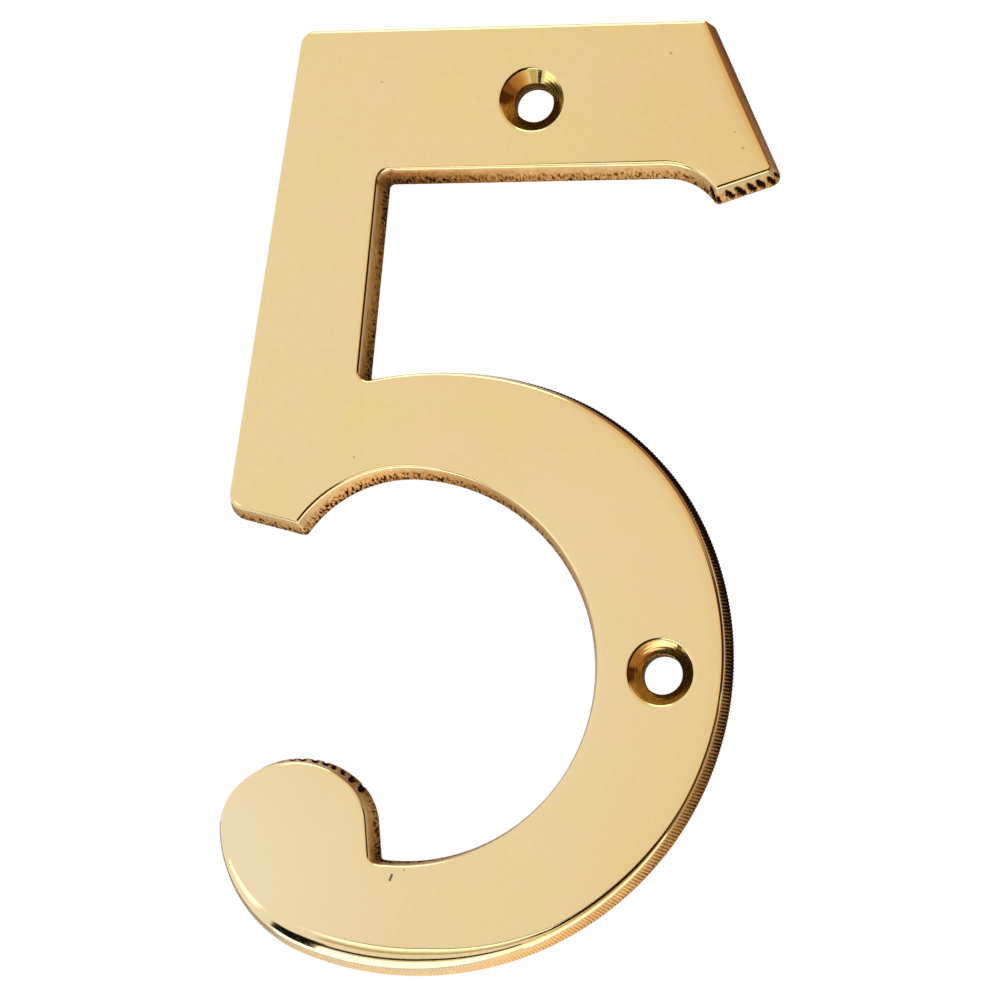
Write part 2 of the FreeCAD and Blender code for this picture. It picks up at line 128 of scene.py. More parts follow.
# Painted highlights of the face, pale patches laid into its colour: x, z, reach of the full highlight and of
# its end, and how strong.
FACE_HIGHLIGHTS = (
    (-60.0, -30.0, 20.0, 80.0, 0.25), (-35.0, -83.0, 6.0, 26.0, 0.9),
    (-4.0, -84.0, 8.0, 30.0, 0.3), (15.0, -56.0, 8.0, 30.0, 0.35),
)

# Stretches of the outline that are longer than this are straight lines.
STRAIGHT = 3.0
# Corners of a smaller radius and a larger turn (radians) are mitred, from a share of that radius
# inwards. Beside them the columns ease over, along so many times the deepest inset.
TIGHT_RADIUS = 4.2
CORNER_TURN = 0.5
MITRE_START = 0.8
MITRE_EASE = 2.5
DEEPEST_INSET = 2.4

# Columns stand closer on the bowl's outer side: further from its centre and lower than these.
BOWL_CENTRE = (-11.4, -59.5)
OUTER_BOWL = 27.0
BELOW_CROWN = -30.0

# Rows of the sides' sheet: border of the back, broken back edge and its deepest cut, the side, the
# rows over which cuts fade towards the roll, the roll, and the face's fall in shares of its width.
# A side is about so wide from the back to the face.
BACK_BORDER = (0.4, 0.18)
EDGE_BREAK = 0.1
BACK_CUT = 0.12
WALL_ROWS = 12
FADE_ROWS = 3
ROLL_ROWS = 7
FACE_SHARES = (0.15, 0.4, 0.7, 1.0, 1.12)
SIDE_WIDTH = 4.2

# File marks run onto the roll where its radius passes these, for so many rows.
FILED_ROLL = (1.0, 1.8)
FILED_ROLL_ROWS = 2

# Tool pits: height of the middle above the back, how far it strays up and along, lean along the side,
# and half the width and height of the smallest pit with what the largest adds.
PIT_MIDDLE = 1.7
PIT_STRAY_UP = 0.5
PIT_STRAY_ALONG = 0.25
PIT_LEAN = 0.2
PIT_HALF_WIDTH = (0.26, 0.14)
PIT_HALF_HEIGHT = (1.2, 0.5)
# Seeds of the random patches in the sides.
WORN_SEED = 11
SHAKE_SEED = 21
GROW_SEED = 22
RISE_SEED = 23
UNEVEN_SEED = 24
ROUGH_SEED = 33

# Rows and columns of a screw seat's sheet, and its borders at the face and at the back.
SEAT_SLOPE = math.radians(45.0)
SEAT_BORDER = (0.25, 0.1)
RIM_ROWS = 6
CONE_ROWS = 26
BORE_BORDER = 0.3
SEAT_COLUMNS = 128
# A slower ring lies over the turned ones: its share of their depth and of their turns.
SLOW_DEPTH = 0.6
SLOW_TURN = 0.43

# Columns and rows of random values before they repeat, and the slant of the sides' grain.
PATCH_LATTICE = (512, 64)
GRAIN_SLANT = math.radians(12.0)

# Finishes in the order of the numeral's materials. A normal with more y than the tilt is the back's.
FACE, WALL, BACK, SEAT = range(4)
BACK_TILT = 0.6

# The room that the metal reflects, in metres: its radius, number of sides, heights of its parts, and
# the line in front of the numeral (y) where the dark floor begins.
ROOM_RADIUS = 1.5
ROOM_SIDES = 180
ROOM_LEVELS = (-0.2, -0.09, 0.6, 4.0)
DARK_LINE = -0.09
# Bearings where the room's foot begins and its low part ends, and of the two parts of its floor.
FOOT_FROM = math.radians(-4.0)
LOW_TO = math.radians(125.0)
DIM_FLOOR = (math.radians(-2.0), math.radians(100.0))
WARM_FLOOR = (math.radians(5.0), math.radians(130.0))
# Heights over which the low colours of the dim side change to the high ones, in metres.
DIM_RISE = (0.5, 0.85)

# Glow of the room: share of the way between a part's bearings, and the colour there.
BLACK = (0.0, 0.0, 0.0)
WHITE = (1.0, 1.0, 1.0)
DEEP_SHADOW = (0.012, 0.008, 0.004)
DIM_LOW_GLOW = (
    (0.0, WHITE), (0.09, (0.95, 0.86, 0.73)), (0.2, (0.93, 0.76, 0.56)), (0.3, (0.9, 0.71, 0.5)),
    (0.36, (0.75, 0.5, 0.28)), (0.42, (0.05, 0.03, 0.01)), (0.65, (0.03, 0.015, 0.006)),
    (0.8, (0.08, 0.022, 0.01)), (1.0, (0.1, 0.03, 0.012)),
)
DIM_HIGH_GLOW = (
    (0.0, WHITE), (0.05, (0.95, 0.85, 0.72)), (0.12, (0.93, 0.76, 0.56)), (0.4, (0.88, 0.66, 0.46)),
    (0.47, (0.4, 0.18, 0.075)), (0.7, (0.34, 0.15, 0.06)), (1.0, (0.4, 0.2, 0.08)),
)
DIM_FLOOR_GLOW = (
    (0.0, DEEP_SHADOW), (0.57, DEEP_SHADOW), (0.67, (0.25, 0.1, 0.035)), (1.0, (0.1, 0.03, 0.012)),
)
WARM_FLOOR_GLOW = (
    (0.0, WHITE), (0.2, (0.88, 0.64, 0.38)), (0.45, (0.5, 0.24, 0.09)), (1.0, (0.2, 0.08, 0.03)),
)

# Flat cards that only the metal reflects: two corners (x, y) in metres and the glow. Those over the
# floor show in the tail's edge and the screw seats, the lines in the wide roll under the bowl.
FLOOR_CARDS = {
    "left_shadow": ((-0.088, -0.05), (-0.0545, 0.006), (0.004, 0.005, 0.003)),
    "seat_shadow": ((-0.05, -0.62), (0.06, -0.28), (0.004, 0.003, 0.002)),
    "seat_glow": ((0.08, -1.3), (0.33, -0.75), (0.6, 0.34, 0.13)),
    "seat_light": ((-0.32, -0.13), (-0.12, -0.035), (1.7, 1.7, 1.6)),
}
LINE_CARDS = {
    "near_line": ((-0.031, -0.0105), (0.003, -0.0145), (0.02, 0.018, 0.008)),
    "middle_line": ((-0.034, -0.027), (0.003, -0.042), (0.6, 0.56, 0.36)),
    "bright_line": ((-0.042, -0.058), (0.003, -0.12), (1.9, 1.9, 1.9)),
    "far_line": ((-0.055, -0.135), (0.0, -0.22), (0.06, 0.055, 0.02)),
}
# How far the floor's parts and the cards lie over the floor, and the lines below the numeral; in metres.
SECTOR_LIFT = 0.002
CARD_LIFT = 0.006
LINE_DROP = 0.0125


def ease(value, start, end):
    """Zero at the start and one at the end, with soft ends."""
    share = np.clip((value - start) / (end - start), 0.0, 1.0)
    return share * share * (3.0 - 2.0 * share)


def patches(along, across, seed):
    """Soft random values between zero and one, about one patch for each unit of length."""
    lattice = np.random.default_rng(seed).random(PATCH_LATTICE)
    wide, tall = PATCH_LATTICE
    column = np.floor(along).astype(int)
    row = np.floor(across).astype(int)
    right = ease(along - column, 0.0, 1.0)
    upper = ease(across - row, 0.0, 1.0)

    def level(rows):
        first = lattice[column % wide, rows % tall]
        second = lattice[(column + 1) % wide, rows % tall]
        return first * (1 - right) + second * right

    return level(row) * (1 - upper) + level(row + 1) * upper


def unit(vectors):
    """The same directions with a length of one."""
    return vectors / np.linalg.norm(vectors, axis=-1, keepdims=True)


def only(*objects):
    """Leave just these objects selected, the first one active."""
    bpy.ops.object.select_all(action="DESELECT")
    for item in objects:
        item.select_set(True)
    bpy.context.view_layer.objects.active = objects[0]


@contextmanager
def edit_mode():
    """Edit the active mesh, and leave edit mode afterwards."""
    bpy.ops.object.mode_set(mode="EDIT")
    yield
    bpy.ops.object.mode_set(mode="OBJECT")


def back_outline():
    """Points round the outer edge of the flat back, counterclockwise from the front, in millimetres."""
    only(CAD_NODE)
    bpy.ops.object.duplicate()
    blank = bpy.context.object
    with edit_mode():
        bpy.ops.mesh.select_all(action="SELECT")
        bpy.ops.mesh.remove_doubles(threshold=SAME_POINT)
        bpy.ops.mesh.select_mode(type="FACE")
        bpy.ops.mesh.select_all(action="DESELECT")
    for polygon in blank.data.polygons:
        polygon.select = polygon.center.y < -SAME_POINT
    with edit_mode():
        bpy.ops.mesh.delete(type="FACE")
        bpy.ops.mesh.select_all(action="SELECT")
        bpy.ops.mesh.region_to_loop()
    mesh = blank.data
    after = {}
    for edge in mesh.edges:
        if edge.select:
            first, second = edge.vertices
            after.setdefault(first, []).append(second)
            after.setdefault(second, []).append(first)
    loops = []
    while after:
        loop = [next(iter(after))]
        while loop[-1] in after:
            onward = [index for index in after.pop(loop[-1]) if index in after]
            loop += onward[:1]
        loops.append(np.array([mesh.vertices[index].co.xz for index in loop]))
    bpy.data.objects.remove(blank)
    outline = max(loops, key=lambda points: np.ptp(points[:, 0])) / MM
    ahead = np.roll(outline, -1, axis=0)
    turned = np.sum(outline[:, 0] * ahead[:, 1] - outline[:, 1] * ahead[:, 0])
    return outline if turned > 0 else outline[::-1]


def even_columns(outline, spacing, straight):
    """Points at even spacing along the outline's lines and arcs, with their unit tangents."""
    ahead = np.roll(outline, -1, axis=0) - outline
    length = np.linalg.norm(ahead, axis=1)
    way = unit(ahead)
    before_way = np.roll(way, 1, axis=0)
    before_length = np.roll(length, 1)
    tangent = unit(before_way * length[:, None] + way * before_length[:, None])
    leaves_line = before_length > straight
    starts_line = length > straight
    tangent[leaves_line] = before_way[leaves_line]
    tangent[starts_line] = way[starts_line]
    places = []
    headings = []
    for index in range(len(outline)):
        end = (index + 1) % len(outline)
        count = max(1, round(length[index] / spacing))
        step = np.arange(count)[:, None] / count
        pull = length[index]
        if length[index] > straight:
            places.append(outline[index] + ahead[index] * step)
            headings.append(np.repeat(way[index][None], count, axis=0))
            continue
        places.append(outline[index] * (2 * step ** 3 - 3 * step ** 2 + 1)
                      + outline[end] * (3 * step ** 2 - 2 * step ** 3)
                      + tangent[index] * pull * (step ** 3 - 2 * step ** 2 + step)
                      + tangent[end] * pull * (step ** 3 - step ** 2))
        headings.append(unit(tangent[index] * (1 - step) + tangent[end] * step))
    return np.concatenate(places), np.concatenate(headings)


def inset_vectors(points, tangent, deepest):
    """How each column moves outwards per millimetre of offset: along the outline's normal, and inside
    the rounding of a tight outer corner along its mitre, with the columns beside it easing over.
    Returns the normals, the later moves, and the depth at which they take over."""
    normal = np.stack([tangent[:, 1], -tangent[:, 0]], axis=1)
    ahead = np.roll(tangent, -1, axis=0)
    turn = np.arctan2(tangent[:, 0] * ahead[:, 1] - tangent[:, 1] * ahead[:, 0],
                      np.sum(tangent * ahead, axis=1))
    step = np.linalg.norm(np.roll(points, -1, axis=0) - points, axis=1)
    tight = turn / step > 1 / TIGHT_RADIUS
    count = len(points)
    moves = normal.copy()
    takeover = np.zeros(count)
    in_corner = np.zeros(count, dtype=bool)
    corners = []
    for start in np.flatnonzero(tight & ~np.roll(tight, 1)):
        end = start
        while tight[end % count]:
            end += 1
        columns = np.arange(start, end + 1) % count
        bends = columns[:-1]
        if np.sum(turn[bends]) <= CORNER_TURN:
            continue
        first = normal[columns[0]]
        last = normal[columns[-1]]
        moves[columns] = (first + last) / (1 + first @ last)
        takeover[columns] = MITRE_START * np.min(step[bends] / turn[bends])
        in_corner[columns] = True
        corners.append((start, end, math.sqrt((1 - first @ last) / (1 + first @ last))))
    share = np.zeros(count)
    shared = np.zeros(count)
    for start, end, lean in corners:
        for origin, way in ((start, -1), (end, 1)):
            columns = []
            distances = []
            column = origin + way
            travelled = step[column % count]
            while not in_corner[column % count] and travelled < MITRE_EASE * deepest * lean:
                columns.append(column % count)
                distances.append(travelled)
                column += way
                travelled += step[column % count]
            if columns:
                ramp = 1 - np.array(distances) / max(distances[-1], TINY)
                moves[columns] += -way * lean * ramp[:, None] * tangent[columns]
                share[columns] += ramp + TINY
                shared[columns] += (ramp + TINY) * takeover[origin % count]
    beside = share > 0
    takeover[beside] = shared[beside] / share[beside]
    return normal, moves, takeover


def lay_sheet(name, places, lengthwise, crosswise, marks):
    """A grid laid on rows of places and closed round on itself, with lengths in its UV map
    and the marks of its casting skin, and the painted shade of the drilled holes, in attributes."""
    rows, columns = places.shape[:2]
    bpy.ops.mesh.primitive_grid_add(x_subdivisions=columns, y_subdivisions=rows - 1, size=1.0, calc_uvs=True)
    sheet = bpy.context.object
    sheet.name = name
    mesh = sheet.data
    flat = np.empty(len(mesh.vertices) * 3)
    mesh.vertices.foreach_get("co", flat)
    flat = flat.reshape(-1, 3)
    column = np.rint((flat[:, 0] + 0.5) * columns).astype(int)
    row = np.rint((flat[:, 1] + 0.5) * (rows - 1)).astype(int)
    laid = places[row, column % columns] * MM
    mesh.vertices.foreach_set("co", laid.ravel())
    corner = np.empty(len(mesh.loops), dtype=int)
    mesh.loops.foreach_get("vertex_index", corner)
    along = np.append(lengthwise, lengthwise[-1] + (lengthwise[-1] - lengthwise[-2]))
    uv = np.stack([along[column[corner]], crosswise[row[corner], column[corner] % columns]], axis=1)
    mesh.uv_layers[0].data.foreach_set("uv", uv.ravel())
    for label, values in marks.items():
        mark = mesh.attributes.new(label, "FLOAT", "POINT")
        mark.data.foreach_set("value", values[row, column % columns].ravel())
    mesh.update()
    with edit_mode():
        bpy.ops.mesh.select_all(action="SELECT")
        bpy.ops.mesh.remove_doubles(threshold=SAME_SEAM)
    return sheet


def number_setting(name, description, default, **limits):
    """A number for the panel."""
    return bpy.props.FloatProperty(name=name, description=description, default=default, **limits)


def angle_setting(name, description, degrees):
    """An angle for the panel, given in degrees."""
    return number_setting(name, description, math.radians(degrees), subtype="ANGLE")


def colour_setting(name, description, default):
    """A colour for the panel."""
    return bpy.props.FloatVectorProperty(
        name=name, description=description, default=default,
        subtype="COLOR", size=3, min=0.0, max=1.0)


def place_setting(name, description, default):
    """A place in the frame for the panel, in metres."""
    return bpy.props.FloatVectorProperty(
        name=name, description=description, default=default,
        subtype="XYZ", unit="LENGTH", size=3, precision=4)


class NumeralSizes(bpy.types.PropertyGroup):
    """Sizes of the dressed numeral; lengths are in millimetres."""

    spacing: number_setting("Column spacing", "Distance between columns round the sides", 0.1, min=0.05)
    draft: angle_setting("Side draft", "How far the sides lean in towards the face", 11.0)
    ease_width: number_setting("Ease width", "Width of the face's fall towards its edge", 1.2)
    seat_diameter: number_setting("Screw seat", "Diameter of the turned screw seat at the face", 7.0)
    seat_rim: number_setting("Seat rim", "Radius of the screw seat's buffed rim", 0.5)
    turning_pitch: number_setting("Turning pitch", "Distance between turned rings in the screw seats", 0.3)
    turning_depth: number_setting("Turning depth", "Depth of the turned rings in the screw seats", 0.0007)
    # Painted shade: the drilled screw holes get the sides' dark brown in place of the shade inside them.
    bore_shade: number_setting("Bore brown", "How brown the drilled screw holes are", 0.7, min=0.0, max=1.0)
    file_pitch: number_setting("File pitch", "Distance between file marks on the bowl's outer side", 0.38)
    file_depth: number_setting("File depth", "Depth of the file marks", 0.085)
    file_slant: number_setting(
        "File slant", "How far a file mark leans along the side per millimetre across", 0.07)
    pit_pitch: number_setting("Pit pitch", "Distance between tool pits in the sides", 1.22)
    pit_depth: number_setting("Pit depth", "Depth of the tool pits in the sides", 0.2)


class BrassColours(bpy.types.PropertyGroup):
    """Colours of the finishes."""

    face: colour_setting("Buffed face", "Colour of the mirror-buffed face", (0.81, 0.63, 0.262))
    face_warm: colour_setting("Warm mottle", "Warmer patches in the buffed face", (0.835, 0.615, 0.338))
    # Painted highlight: the paler colour laid over parts of the face, most of all towards the tail.
    face_highlight: colour_setting("Pale bloom", "Paler bloom on the face towards the tail", (0.87, 0.71, 0.45))
    face_speck: colour_setting("Face speck", "Fine pits in the buffed face", (0.45, 0.27, 0.09))
    side_pale: colour_setting("Pale side", "Sides where the file left bare metal", (0.28, 0.26, 0.21))
    side_bright: colour_setting("Bright side", "Sides where the metal was ground clean", (0.52, 0.35, 0.165))
    # Brown side and casting skin also colour the drilled screw holes, as painted shade there.
    side_brown_and_shade: colour_setting("Brown side", "Sides where the metal has browned", (0.3, 0.125, 0.035))
    side_glance: colour_setting(
        "Glancing side", "Tint of the sides where they are seen at a low angle", (0.82, 0.69, 0.5))
    side_dark_and_shade: colour_setting(
        "Casting skin", "Dark casting skin left in the sides' pits", (0.016, 0.007, 0.003))
    back: colour_setting("Cast back", "Colour of the cast back", (0.45, 0.31, 0.13))
    back_dark: colour_setting("Dark cast back", "Darker patches of the cast back", (0.26, 0.16, 0.06))


def edge_values(points, along, length):
    """Roll radius, slope of the face, share of pits, flecks and file marks, and brown for each column."""
    marks = []
    values = []
    for place, *numbers in EDGE_STATIONS.values():
        nearest = np.argmin(np.linalg.norm(points - np.array(place), axis=1))
        marks.append(along[nearest])
        values.append(numbers)
    radius, slope, *surface = [np.interp(along, marks, numbers, period=length) for numbers in zip(*values)]
    return radius, np.radians(slope), surface


def side_marks(along, across, surface, sizes):
    """How deep the sides are cut, how brown their skin is and how thick its dark flecks are,
    for each column at a height on the side."""
    pits, flecks, filed, tone = surface
    height = across / SIDE_WIDTH
    slanted = along / sizes.file_pitch + across * sizes.file_slant / sizes.file_pitch
    stroke = 0.5 + 0.5 * np.cos(2 * math.pi * slanted)
    worn = patches(along / 2.3, across / 2.0, WORN_SEED)
    file_cut = sizes.file_depth * stroke * (0.55 + 0.45 * worn)

    cell = np.floor(along / sizes.pit_pitch)

    def for_each_pit(row, seed):
        return patches(cell + 0.001, cell * 0 + row, seed)

    shake = for_each_pit(0, SHAKE_SEED) - 0.5
    grow = for_each_pit(3, GROW_SEED)
    off_up = across - PIT_MIDDLE - PIT_STRAY_UP * (for_each_pit(5, RISE_SEED) - 0.5)
    off_along = along - (cell + 0.5 + PIT_STRAY_ALONG * shake) * sizes.pit_pitch + PIT_LEAN * off_up
    half_width = PIT_HALF_WIDTH[0] + PIT_HALF_WIDTH[1] * grow
    half_height = PIT_HALF_HEIGHT[0] + PIT_HALF_HEIGHT[1] * grow
    reach = (off_along / half_width) ** 2 + (off_up / half_height) ** 2
    uneven = 0.8 + 0.4 * patches(along / 0.35, across / 0.5, UNEVEN_SEED)
    pit = ease(reach * uneven, 1.3, 0.6) * ease(grow + pits, 0.75, 1.0)
    pitted = pit * ease(pits, 0.2, 0.7)

    # Brown comes from pits and file marks, from roughness, and near the back.
    rough = patches(along / 0.4, across / 0.5, ROUGH_SEED)
    toward_back = ease(height, 0.75, 0.15)
    cast_skin = 0.05 + 0.15 * toward_back + 0.95 * pitted + 0.14 * (rough - 0.5)
    file_brown = (0.32 + 0.1 * tone) * stroke
    filed_skin = 0.03 + file_brown + 0.1 * (worn - 0.5) + 0.1 * (rough - 0.5) + 0.1 * toward_back
    skin = cast_skin * (1 - filed) + filed_skin * filed + 0.6 * tone
    cut = (sizes.pit_depth * pitted + 0.02 * rough) * (1 - filed) + file_cut * filed
    return cut, np.clip(skin, 0.01, 1.0), flecks * ease(height, 0.85, 0.35) * (1 - filed)


def wall_sheet(points, tangent, sizes, thickness):
    """The numeral's sides, buffed edge and the border of its face and back, as one sheet."""
    step = np.linalg.norm(np.roll(points, -1, axis=0) - points, axis=1)
    along = np.concatenate([[0.0], np.cumsum(step)[:-1]])
    radius, slope, surface = edge_values(points, along, step.sum())
    normal, moves, takeover = inset_vectors(points, tangent, DEEPEST_INSET)
    lean = math.tan(sizes.draft)
    ease_drop = sizes.ease_width * np.tan(slope) / 2
    centre_forward = thickness - ease_drop - radius * np.cos(slope)
    centre_out = -centre_forward * lean - radius / math.cos(sizes.draft)
    wall_top = centre_forward + radius * math.sin(sizes.draft)
    zero = np.zeros_like(radius)
    rows = [(zero - inward, zero, zero, zero) for inward in BACK_BORDER]
    for row in range(WALL_ROWS):
        forward = EDGE_BREAK + (wall_top - EDGE_BREAK) * row / WALL_ROWS
        cut, skin, flecks = side_marks(along, forward * (1 + lean), surface, sizes)
        fade = min(1.0, (WALL_ROWS - row) / FADE_ROWS)
        cut = cut * fade
        if row == 0:
            cut = np.minimum(cut, BACK_CUT)
        rows.append((-forward * lean - cut, forward, skin * (0.5 + 0.5 * fade), flecks))
    filed_roll = ease(radius, *FILED_ROLL) * surface[2]
    for row in range(ROLL_ROWS + 1):
        angle = sizes.draft + (math.pi / 2 - slope - sizes.draft) * row / ROLL_ROWS
        forward = centre_forward + radius * np.sin(angle)
        cut, skin, _ = side_marks(along, forward * (1 + lean), surface, sizes)
        fade = max(0.0, 1 - row / FILED_ROLL_ROWS) * filed_roll
        skin = np.where(fade > 0.1, skin, 0.0)
        rows.append((centre_out + radius * np.cos(angle) - 0.5 * cut * fade, forward, skin, zero))
    edge = centre_out + radius * np.sin(slope)
    for share in FACE_SHARES:
        fall = ease_drop * max(0.0, 1 - share) ** 2
        rows.append((edge - sizes.ease_width * share, thickness - fall, zero, zero))
    sheet = (len(rows), len(points))
    places = np.empty((*sheet, 3))
    crosswise = np.empty(sheet)
    marks = {"skin": np.empty(sheet), "flecks": np.empty(sheet)}
    for number, (out, forward, skin, flecks) in enumerate(rows):
        early = np.maximum(out, -takeover)[:, None]
        late = np.minimum(out + takeover, 0.0)[:, None]
        places[number, :, [0, 2]] = (points + normal * early + moves * late).T
        places[number, :, 1] = -forward
        crosswise[number] = forward - out
        marks["skin"][number] = skin
        marks["flecks"][number] = flecks
    return lay_sheet("numeral_sides", places, along, crosswise, marks)


def seat_sheet(mount, sizes, thickness):
    """A screw hole with its turned conical seat, as one sheet round its axis."""
    hole = mount["dims"]["r_mm"]
    seat = sizes.seat_diameter / 2
    rim = sizes.seat_rim
    outer = seat + rim * math.tan(SEAT_SLOPE / 2)
    rows = [(outer + outward, thickness) for outward in SEAT_BORDER]
    for step in range(RIM_ROWS + 1):
        angle = SEAT_SLOPE * step / RIM_ROWS
        rows.append((outer - rim * math.sin(angle), thickness - rim + rim * math.cos(angle)))
    top_radius, top_forward = rows[-1]
    cone = top_radius - hole
    for ring in range(1, CONE_ROWS):
        deep = cone * ring / CONE_ROWS
        turn = 2 * math.pi * deep / sizes.turning_pitch
        wave = sizes.turning_depth * (math.sin(turn) + SLOW_DEPTH * math.sin(SLOW_TURN * turn + 1.0))
        rows.append((top_radius - deep + wave, top_forward - deep - wave))
    drilled = len(rows)
    bore_top = top_forward - cone
    rows += [(hole, bore_top), (hole, bore_top / 2), (hole, EDGE_BREAK)]
    rows += [(hole + EDGE_BREAK, 0.0), (hole + BORE_BORDER, 0.0)]
    angles = np.arange(SEAT_COLUMNS) * 2 * math.pi / SEAT_COLUMNS
    centre = np.array(mount["pos_m"]) / MM
    sheet = (len(rows), SEAT_COLUMNS)
    places = np.empty((*sheet, 3))
    crosswise = np.empty(sheet)
    for number, (radius, forward) in enumerate(rows):
        places[number, :, 0] = centre[0] + radius * np.cos(angles)
        places[number, :, 2] = centre[2] + radius * np.sin(angles)
        places[number, :, 1] = -forward
        crosswise[number] = radius - forward
    # Painted shade: the drilled bore's rows get a brown amount, so they take the sides' dark finish in place
    # of the shade inside the hole.
    skin = np.zeros(sheet)
    skin[drilled:-2] = sizes.bore_shade
    return lay_sheet("screw_seat", places, angles * seat, crosswise, {"skin": skin, "flecks": skin * 0})


def link(output, socket):
    """Join a node's output to another node's input."""
    output.id_data.links.new(output, socket)


def new_node(tree, kind, **values):
    """A new node with some of its inputs set."""
    node = tree.nodes.new("ShaderNode" + kind)
    for label, value in values.items():
        node.inputs[label].default_value = value
    return node


def result_of(operation, first, second):
    """The result of one calculation on two values; the second may be a plain number."""
    node = new_node(first.id_data, "Math")
    node.operation = operation
    link(first, node.inputs[0])
    if isinstance(second, bpy.types.NodeSocket):
        link(second, node.inputs[1])
    else:
        node.inputs[1].default_value = second
    return node.outputs[0]


def mapped(value, first, last, low=0.0, high=1.0, soft=False):
    """A value spread from one range, first to last, over another, low to high."""
    spread = new_node(value.id_data, "MapRange")
    if soft:
        spread.interpolation_type = "SMOOTHSTEP"
    for label, number in (("From Min", first), ("From Max", last), ("To Min", low), ("To Max", high)):
        spread.inputs[label].default_value = number
    link(value, spread.inputs["Value"])
    return spread.outputs["Result"]


def colour_ramp(amount, colours):
    """A colour from a row of stops, each with its position and colour."""
    ramp = new_node(amount.id_data, "ValToRGB")
    stops = ramp.color_ramp.elements
    for stop, (position, colour) in ((stops[1], colours[-1]), (stops[0], colours[0])):
        stop.position = position
        stop.color = (*colour, 1.0)
    for position, colour in colours[1:-1]:
        stops.new(position).color = (*colour, 1.0)
    link(amount, ramp.inputs["Fac"])
    return ramp.outputs["Color"]


def effect_group(name, *inputs):
    """An empty node group with named number inputs and one number output, the amount."""
    tree = bpy.data.node_groups.new(name, "ShaderNodeTree")
    for label in inputs:
        tree.interface.new_socket(name=label, in_out="INPUT", socket_type="NodeSocketFloat")
    tree.interface.new_socket(name="Amount", in_out="OUTPUT", socket_type="NodeSocketFloat")
    return tree, tree.nodes.new("NodeGroupInput"), tree.nodes.new("NodeGroupOutput")


def soft_mottle():
    """Soft cloudy patches over the metal."""
    tree, given, result = effect_group("soft_mottle", "Scale")
    place = new_node(tree, "TexCoord")
    noise = new_node(tree, "TexNoise", Detail=6.0, Roughness=0.65)
    link(place.outputs["Object"], noise.inputs["Vector"])
    link(given.outputs["Scale"], noise.inputs["Scale"])
    link(mapped(noise.outputs["Fac"], 0.3, 0.7), result.inputs["Amount"])
    return tree


def fine_specks():
    """Small scattered specks."""
    tree, given, result = effect_group("fine_specks", "Scale", "Share", "Size")
    place = new_node(tree, "TexCoord")
    cells = new_node(tree, "TexVoronoi")
    split = new_node(tree, "SeparateColor")
    link(place.outputs["Object"], cells.inputs["Vector"])
    link(given.outputs["Scale"], cells.inputs["Scale"])
    link(cells.outputs["Color"], split.inputs["Color"])
    near = result_of("LESS_THAN", cells.outputs["Distance"], given.outputs["Size"])
    chosen = result_of("LESS_THAN", split.outputs["Red"], given.outputs["Share"])
    link(result_of("MULTIPLY", near, chosen), result.inputs["Amount"])
    return tree


def new_material(name, colour, roughness):
    """A metal with its Principled shader; colour and roughness may be linked over later."""
    material = bpy.data.materials.new(name)
    material.use_nodes = True
    shader = material.node_tree.nodes["Principled BSDF"]
    shader.inputs["Base Color"].default_value = (*colour, 1.0)
    shader.inputs["Metallic"].default_value = 1.0
    shader.inputs["Roughness"].default_value = roughness
    return material, shader


def effect(tree, group, **values):
    """A copy of an effect in a material, with its inputs set."""
    node = new_node(tree, "Group")
    node.node_tree = group
    for label, value in values.items():
        node.inputs[label].default_value = value
    return node.outputs["Amount"]


def blend(amount, first, second):
    """A colour between two others; each may be a colour or the output of another blend."""
    node = new_node(amount.id_data, "Mix")
    node.data_type = "RGBA"
    link(amount, node.inputs["Factor"])
    for socket, colour in ((node.inputs[6], first), (node.inputs[7], second)):
        if isinstance(colour, bpy.types.NodeSocket):
            link(colour, socket)
        else:
            socket.default_value = (*colour, 1.0)
    return node.outputs[2]


def near_place(tree, centre, inner, outer, most):
    """An amount that falls from most to zero between two distances from a place, in metres."""
    place = new_node(tree, "TexCoord")
    away = new_node(tree, "VectorMath")
    away.operation = "DISTANCE"
    away.inputs[1].default_value = centre
    link(place.outputs["Object"], away.inputs[0])
    return mapped(away.outputs["Value"], inner, outer, low=most, high=0.0, soft=True)


def side_grain(tree, stretch, detail):
    """Random grain along the sides, so many grains to the millimetre along and across."""
    place = new_node(tree, "UVMap")
    mapping = new_node(tree, "Mapping", Scale=stretch, Rotation=(0.0, 0.0, GRAIN_SLANT))
    noise = new_node(tree, "TexNoise", Scale=1.0, Detail=detail)
    link(place.outputs["UV"], mapping.inputs["Vector"])
    link(mapping.outputs["Vector"], noise.inputs["Vector"])
    return noise.outputs["Fac"]


def side_attribute(tree, name):
    """A value that the sheet of the sides holds."""
    node = new_node(tree, "Attribute")
    node.attribute_name = name
    return node.outputs["Fac"]


def buffed_brass(colours, mottle, specks):
    """The mirror-buffed face with its mottle, painted highlights, specks and small marks."""
    material, shader = new_material("buffed_brass", colours.face, 0.1)
    tree = material.node_tree
    colour = blend(effect(tree, mottle, Scale=140.0), colours.face, colours.face_warm)
    grain = result_of("MULTIPLY", effect(tree, mottle, Scale=1500.0), 0.1)
    colour = blend(grain, colour, colours.face_speck)
    # Painted highlights: pale patches blended into the face colour round given places.
    for x, z, inner, outer, most in FACE_HIGHLIGHTS:
        highlight = near_place(tree, (x * MM, 0.0, z * MM), inner * MM, outer * MM, most)
        colour = blend(highlight, colour, colours.face_highlight)
    scattered = effect(tree, specks, Scale=160.0, Share=0.05, Size=0.02)
    colour = blend(scattered, colour, colours.face_speck)
    for x, z, reach, dark in FACE_MARKS:
        centre = (x * MM, CAD_BOX[0][1], z * MM)
        mark = near_place(tree, centre, MARK_CORE * reach * MM, reach * MM, dark)
        colour = blend(mark, colour, colours.side_dark_and_shade)
    link(colour, shader.inputs["Base Color"])
    return material


